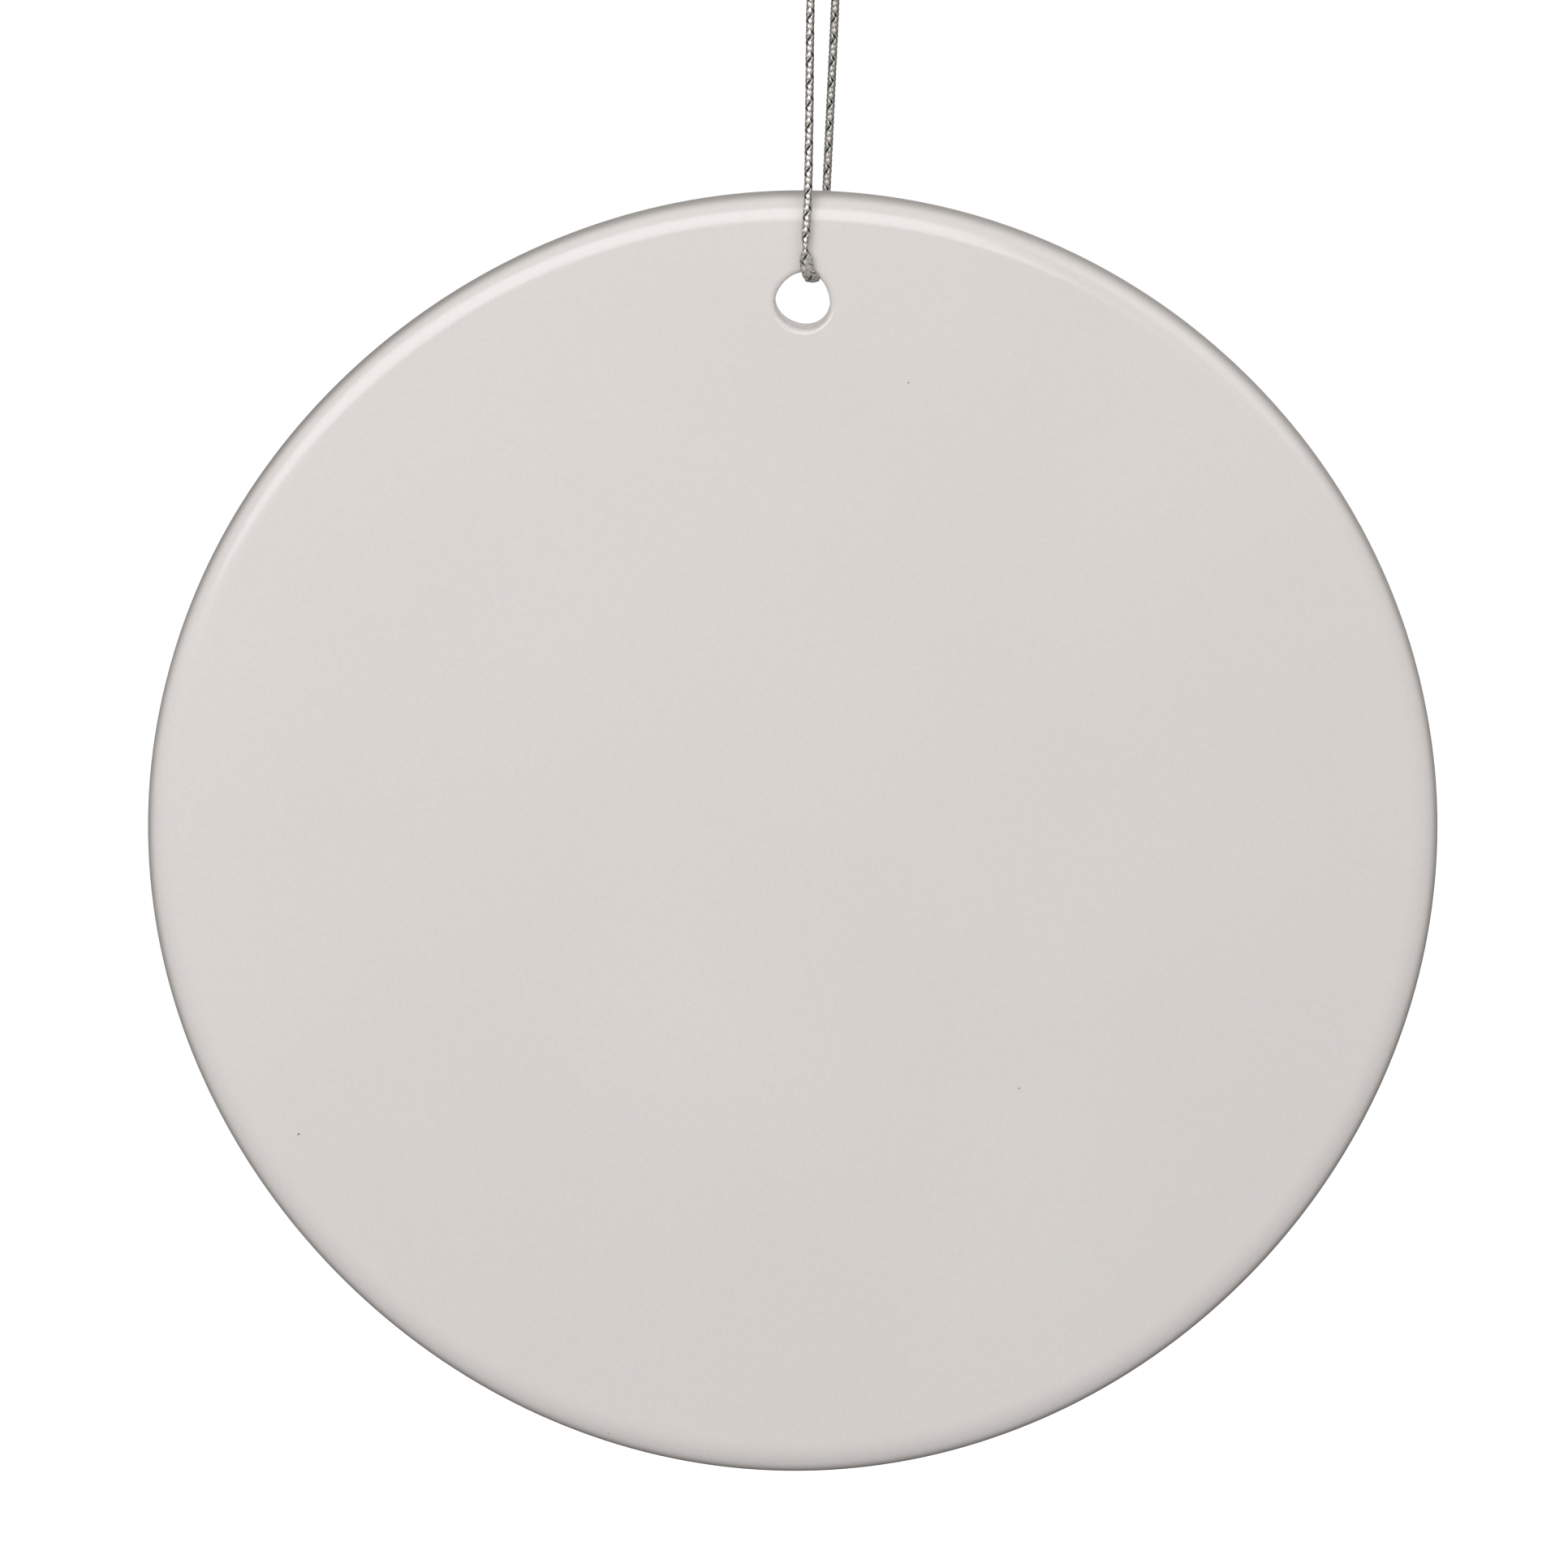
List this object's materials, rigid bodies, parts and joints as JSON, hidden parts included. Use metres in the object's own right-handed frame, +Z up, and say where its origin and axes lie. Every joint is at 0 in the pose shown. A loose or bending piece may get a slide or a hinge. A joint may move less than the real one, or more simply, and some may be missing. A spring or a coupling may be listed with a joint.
{
  "type": "hanging round porcelain ornament",
  "caption": "Plain round glazed porcelain disc ornament with a hole near its edge, hanging in a knotted loop of thin silver braided cord.",
  "frame": {"origin": "the point that the loop hangs from, on the cord right under its knot and straight above the disc's centre of mass", "axes": "+Z up along the loop, -Y the way the disc's front face looks, +X to the right of someone who faces the front"},
  "size_m": [0.073, 0.0048, 0.1256],
  "materials": {
    "porcelain": "glossy off-white glaze",
    "silver_cord": "metallic silver braid"
  },
  "bodies": {
    "knotted_end": {"cord_knot": "silver_cord", "cord_tail_front": "silver_cord", "cord_tail_back": "silver_cord"},
    "loop_neck": {"cord_neck_front": "silver_cord", "cord_neck_back": "silver_cord"},
    "loop_upper": {"cord_upper_front": "silver_cord", "cord_upper_back": "silver_cord"},
    "loop_lower": {"cord_lower": "silver_cord"},
    "ornament": {"porcelain_disc": "porcelain"}
  },
  "joints": [
    {"name": "side_swing", "type": "hinge", "parent": "knotted_end", "child": "loop_neck", "pos_m": [0, 0, 0], "axis": [0, 1, 0], "range_deg": [-45, 45]},
    {"name": "fore_aft_swing", "type": "hinge", "parent": "loop_neck", "child": "loop_upper", "pos_m": [0, 0, 0], "axis": [1, 0, 0], "range_deg": [-45, 45]},
    {"name": "loop_twist", "type": "hinge", "parent": "loop_upper", "child": "loop_lower", "pos_m": [0, 0, -0.02415], "axis": [0, 0, 1], "range_deg": [-120, 120]},
    {"name": "disc_rock", "type": "hinge", "parent": "loop_lower", "child": "ornament", "pos_m": [0.00005, 0, -0.05007], "axis": [0, 1, 0], "range_deg": [-45, 45]}
  ]
}
